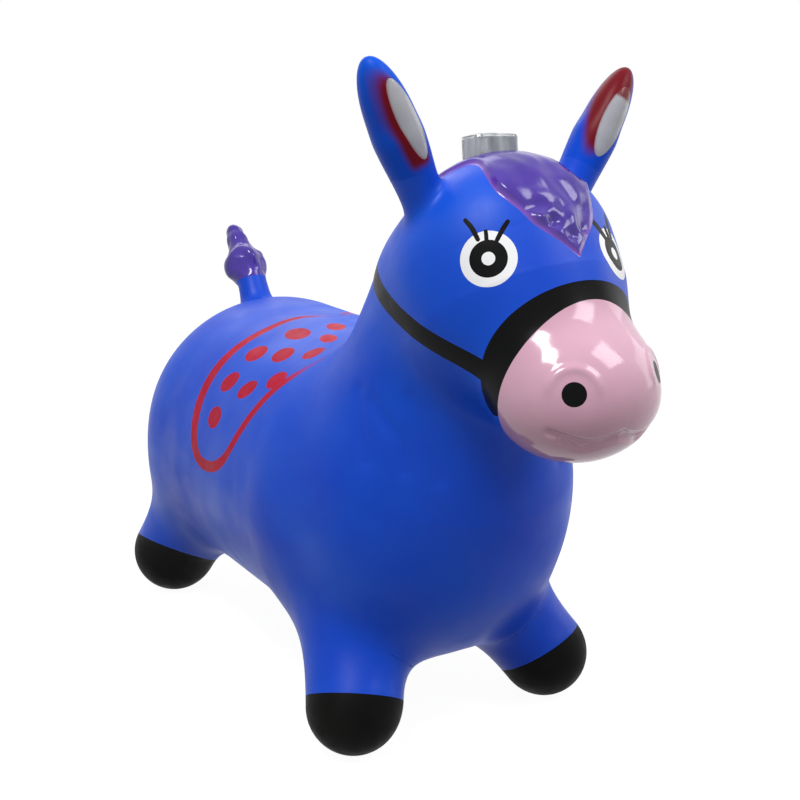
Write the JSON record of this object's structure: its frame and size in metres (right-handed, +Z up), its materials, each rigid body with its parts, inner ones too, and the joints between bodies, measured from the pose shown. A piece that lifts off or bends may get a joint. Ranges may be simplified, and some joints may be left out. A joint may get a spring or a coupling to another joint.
{
  "type": "inflatable hopping animal",
  "caption": "Blown-up vinyl donkey that a toddler sits on and bounces, held by the ears, with a flashing light set in the top of its head.",
  "frame": {"origin": "on the floor, under the middle of the animal's length and width", "axes": "+Z up, the animal faces -Y, +X is its left side"},
  "size_m": [0.257, 0.5878, 0.488],
  "materials": {
    "blue_vinyl": "satin",
    "pink_vinyl": "glossy",
    "purple_vinyl": "glossy",
    "black_vinyl": "matt",
    "black_print": "semi gloss",
    "white_print": "semi gloss",
    "grey_print": "satin",
    "white_plug": "satin",
    "clear_plastic": "clear and glossy",
    "grey_plastic": "satin",
    "green_board": "semi gloss",
    "black_resin": "glossy",
    "red_lens": "clear and glossy",
    "plated_steel": "bright"
  },
  "bodies": {
    "feet": {"hoof_front_left": "black_vinyl", "hoof_front_right": "black_vinyl", "hoof_rear_left": "black_vinyl", "hoof_rear_right": "black_vinyl", "leg_front_left": "blue_vinyl", "leg_front_right": "blue_vinyl", "leg_rear_left": "blue_vinyl", "leg_rear_right": "blue_vinyl"},
    "body": {"torso_skin": "blue_vinyl", "head_skin": "blue_vinyl", "muzzle": "pink_vinyl", "forelock": "purple_vinyl", "noseband_print": "black_print", "cheek_strap_print": "black_print", "eye_ring_left": "white_print", "eye_ring_right": "white_print", "eye_iris_left": "black_print", "eye_iris_right": "black_print", "eye_dot_left": "white_print", "eye_dot_right": "white_print", "nostril_left": "black_print", "nostril_right": "black_print", "ear_root_left": "blue_vinyl", "ear_root_right": "blue_vinyl", "tail_root": "blue_vinyl"},
    "left_ear": {"ear_left": "blue_vinyl", "ear_lining_left": "grey_print"},
    "right_ear": {"ear_right": "blue_vinyl", "ear_lining_right": "grey_print"},
    "tail": {"tail_stub": "blue_vinyl", "tail_tuft": "purple_vinyl"},
    "air_plug": {"air_plug": "white_plug"},
    "light_unit": {"light_base": "grey_plastic", "light_cap": "clear_plastic", "battery_door": "grey_plastic", "door_screw_left": "plated_steel", "door_screw_right": "plated_steel", "circuit_board": "green_board", "flasher_chip": "black_resin", "lamp_left": "red_lens", "lamp_middle": "red_lens", "lamp_right": "red_lens", "press_switch": "plated_steel", "shake_pin": "plated_steel", "button_cell_1": "plated_steel", "button_cell_2": "plated_steel", "button_cell_3": "plated_steel", "battery_contact_left": "plated_steel", "battery_contact_right": "plated_steel"},
    "light_button": {"light_button": "clear_plastic", "switch_plunger": "clear_plastic"},
    "shake_spring": {"shake_spring": "plated_steel"}
  },
  "joints": [
    {"name": "bounce", "type": "slide", "parent": "feet", "child": "body", "axis": [0, 0, 1], "range_m": [-0.025, 0], "stiffness_N_per_m": 4000, "springref_m": 0.01, "deforming": ["leg_front_left", "leg_front_right", "leg_rear_left", "leg_rear_right"]},
    {"name": "ear_left_flex", "type": "hinge", "parent": "body", "child": "left_ear", "pos_m": [0.07223, -0.16211, 0.42678], "axis": [0.7972, -0.4027, -0.4499], "range_deg": [-20, 20], "stiffness_Nm_per_rad": 0.8, "deforming": ["ear_root_left"]},
    {"name": "ear_right_flex", "type": "hinge", "parent": "body", "child": "right_ear", "pos_m": [-0.07223, -0.16211, 0.42678], "axis": [0.7972, 0.4027, 0.4499], "range_deg": [-20, 20], "stiffness_Nm_per_rad": 0.8, "deforming": ["ear_root_right"]},
    {"name": "tail_flex", "type": "hinge", "parent": "body", "child": "tail", "pos_m": [0, 0.23736, 0.2905], "axis": [1, 0, 0], "range_deg": [-20, 20], "stiffness_Nm_per_rad": 0.8, "deforming": ["tail_root"]},
    {"name": "plug_pull", "type": "slide", "parent": "body", "child": "air_plug", "axis": [0, 0, -1], "range_m": [0, 0.03]},
    {"name": "light_lift", "type": "slide", "parent": "body", "child": "light_unit", "axis": [0, 0.1045, 0.9945], "range_m": [0, 0.03]},
    {"name": "button_press", "type": "slide", "parent": "light_unit", "child": "light_button", "axis": [0, 0.1045, 0.9945], "range_m": [-0.001, 0], "stiffness_N_per_m": 300, "springref_m": 0.0015},
    {"name": "shake_sway", "type": "hinge", "parent": "light_unit", "child": "shake_spring", "pos_m": [-0.00865, -0.15535, 0.42378], "axis": [1, 0, 0], "range_deg": [-5, 5], "stiffness_Nm_per_rad": 0.0002}
  ]
}
